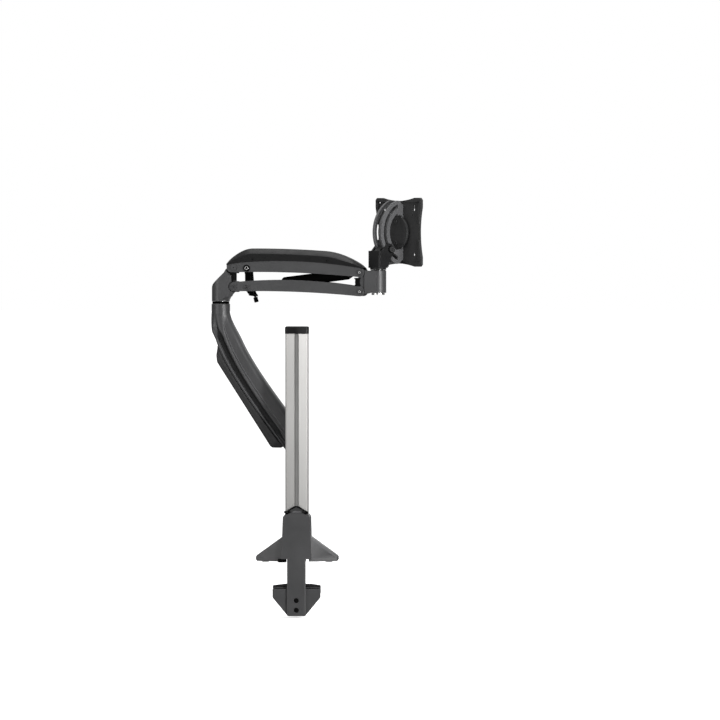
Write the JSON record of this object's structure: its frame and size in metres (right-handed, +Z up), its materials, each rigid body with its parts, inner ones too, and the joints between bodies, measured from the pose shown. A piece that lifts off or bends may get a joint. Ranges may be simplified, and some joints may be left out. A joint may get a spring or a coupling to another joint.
{
  "type": "monitor arm",
  "caption": "Desk-clamp monitor arm: slotted post, curved swivelling lower arm, spring-balanced parallelogram upper arm and slotted-arc tilt head with a screen plate.",
  "frame": {"origin": "on the post's axis, at the desk surface under the foot", "axes": "+X along the desk's back edge, +Y over the desk, +Z up along the post"},
  "size_m": [0.3565, 0.1243, 0.6964],
  "materials": {
    "cast_charcoal": "satin powder coat on cast aluminium",
    "head_black": "dark satin powder coat",
    "arc_grey": "mid grey satin coat",
    "post_alloy": "clear anodised extrusion",
    "black_plastic": "fine-textured moulding",
    "rubber_black": "matt rubber",
    "black_steel": "black oxide",
    "bright_steel": "zinc plated"
  },
  "bodies": {
    "base": {"clamp_back_plate": "cast_charcoal", "base_foot": "cast_charcoal", "foot_pads": "rubber_black", "lower_jaw": "cast_charcoal", "jaw_screws": "black_steel", "post": "post_alloy", "post_cap": "black_plastic", "post_bolt": "bright_steel", "post_wedges": "black_plastic"},
    "pressure": {"pressure_plate": "black_steel", "pressure_rubber": "rubber_black"},
    "spindle": {"clamp_screw": "bright_steel", "clamp_grip": "black_plastic"},
    "carriage": {"carriage": "cast_charcoal", "carriage_nut": "bright_steel", "carriage_screws": "black_steel", "root_pin": "bright_steel"},
    "lower_arm": {"root_bushes": "black_plastic", "lower_arm": "cast_charcoal", "cable_cover": "black_plastic", "elbow_ring": "black_plastic"},
    "elbow": {"elbow_shaft": "bright_steel", "elbow_casting": "cast_charcoal", "elbow_pins": "black_steel"},
    "upper_link": {"upper_link": "cast_charcoal", "link_cover": "black_plastic", "cover_screws": "black_steel"},
    "lower_link": {"lower_link": "cast_charcoal"},
    "tension": {"tension_post": "black_plastic", "tension_pins": "black_steel"},
    "knob": {"tension_knob": "black_plastic"},
    "spring_cylinder": {"spring_cylinder": "black_steel"},
    "spring_rod": {"spring_rod": "bright_steel"},
    "clevis": {"front_clevis": "cast_charcoal", "clevis_pins": "black_steel", "swivel_bush": "black_plastic"},
    "head": {"head_post": "head_black", "swivel_pin": "bright_steel", "tilt_bolt": "black_steel", "tilt_washers": "bright_steel"},
    "cradle": {"tilt_cradle": "arc_grey", "hub_disc": "head_black", "hub_screws": "black_steel", "hub_rivet": "bright_steel"},
    "screen_plate": {"vesa_plate": "head_black"}
  },
  "joints": [
    {"name": "clamp_lift", "type": "slide", "parent": "base", "child": "pressure", "axis": [0, 0, 1], "range_m": [0, 0.022]},
    {"name": "spindle_turn", "type": "hinge", "parent": "pressure", "child": "spindle", "pos_m": [0, 0.01032, -0.07], "axis": [0, 0, 1], "range_deg": [0, 2641]},
    {"name": "height_slide", "type": "slide", "parent": "base", "child": "carriage", "axis": [0, 0, 1], "range_m": [-0.04, 0.1]},
    {"name": "root_swivel", "type": "hinge", "parent": "carriage", "child": "lower_arm", "pos_m": [0, 0.0459, 0.209], "axis": [0, 0, 1], "range_deg": [-172, 10]},
    {"name": "elbow_swivel", "type": "hinge", "parent": "lower_arm", "child": "elbow", "pos_m": [-0.13136, 0.06671, 0.43], "axis": [0, 0, 1], "range_deg": [-170, 170]},
    {"name": "arm_lift", "type": "hinge", "parent": "elbow", "child": "upper_link", "pos_m": [-0.10595, 0.06223, 0.4907], "axis": [-0.1736, -0.9848, 0], "range_deg": [-28, 33]},
    {"name": "lower_link_turn", "type": "hinge", "parent": "elbow", "child": "lower_link", "pos_m": [-0.10595, 0.06223, 0.4587], "axis": [-0.1736, -0.9848, 0], "range_deg": [-29, 34]},
    {"name": "tension_post_turn", "type": "hinge", "parent": "upper_link", "child": "tension", "pos_m": [-0.08381, 0.05832, 0.48988], "axis": [-0.1736, -0.9848, 0], "range_deg": [-34, 29]},
    {"name": "clevis_turn", "type": "hinge", "parent": "upper_link", "child": "clevis", "pos_m": [0.10662, 0.02474, 0.48279], "axis": [-0.1736, -0.9848, 0], "range_deg": [-34, 29]},
    {"name": "spring_turn", "type": "hinge", "parent": "lower_link", "child": "spring_rod", "pos_m": [-0.08381, 0.05832, 0.45788], "axis": [-0.1736, -0.9848, 0], "range_deg": [-2, 2]},
    {"name": "spring_stroke", "type": "slide", "parent": "spring_rod", "child": "spring_cylinder", "axis": [0.9767, -0.1722, 0.1278], "range_m": [-0.022, 0.022]},
    {"name": "tension_spin", "type": "hinge", "parent": "tension", "child": "knob", "pos_m": [-0.07347, 0.0565, 0.44328], "axis": [-0.2714, 0.0479, 0.9613], "continuous": true},
    {"name": "head_swivel", "type": "hinge", "parent": "clevis", "child": "head", "pos_m": [0.13459, 0.01981, 0.48579], "axis": [0, 0, 1], "range_deg": [-143, 37]},
    {"name": "head_tilt", "type": "hinge", "parent": "head", "child": "cradle", "pos_m": [0.17467, 0.05718, 0.5499], "axis": [0.682, -0.7314, 0], "range_deg": [-20, 70]},
    {"name": "head_rotate", "type": "hinge", "parent": "cradle", "child": "screen_plate", "pos_m": [0.1686, 0.05152, 0.5499], "axis": [0.7314, 0.682, 0], "range_deg": [-90, 90]}
  ],
  "couplings": [
    {"joint": "spindle_turn", "follows": "clamp_lift", "rad_per_m": 2094.4},
    {"joint": "lower_link_turn", "follows": "arm_lift", "ratio": 1},
    {"joint": "tension_post_turn", "follows": "arm_lift", "ratio": -1},
    {"joint": "clevis_turn", "follows": "arm_lift", "ratio": -1},
    {"joint": "spring_turn", "follows": "arm_lift", "ratio": -0.0255},
    {"joint": "spring_stroke", "follows": "arm_lift", "m_per_rad": 0.03}
  ]
}
